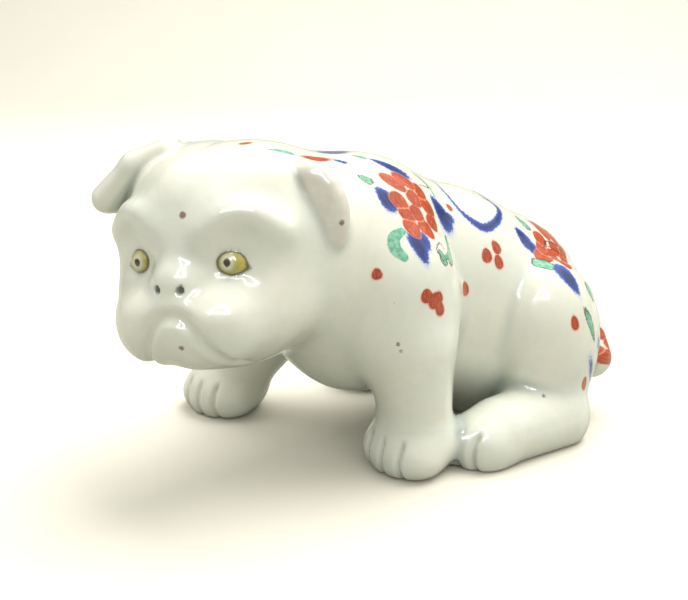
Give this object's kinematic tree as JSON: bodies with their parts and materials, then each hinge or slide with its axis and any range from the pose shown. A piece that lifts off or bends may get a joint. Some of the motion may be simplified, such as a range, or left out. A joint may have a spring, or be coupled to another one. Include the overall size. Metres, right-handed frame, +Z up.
{
  "type": "ceramic dog figurine",
  "caption": "Hollow glazed porcelain figurine of a flat-faced dog sitting on its haunches, head turned aside, painted with flowers.",
  "frame": {"origin": "on the resting plane, in the middle of the flat sole below the rump", "axes": "+Z up, -Y the way the dog's body faces, +X its left side"},
  "size_m": [0.0907, 0.1484, 0.0893],
  "materials": {
    "porcelain_glaze": "glossy clear glaze on cool white porcelain, painted in underglaze blue and overglaze red and green",
    "eye_enamel": "glossy yellow enamel with a dark outline"
  },
  "bodies": {
    "root": {"body_shell": "porcelain_glaze", "head_shell": "porcelain_glaze", "left_ear": "porcelain_glaze", "right_ear": "porcelain_glaze", "left_front_leg": "porcelain_glaze", "right_front_leg": "porcelain_glaze", "left_hind_leg": "porcelain_glaze", "right_hind_leg": "porcelain_glaze", "tail": "porcelain_glaze", "left_eye": "eye_enamel", "right_eye": "eye_enamel"}
  },
  "joints": []
}
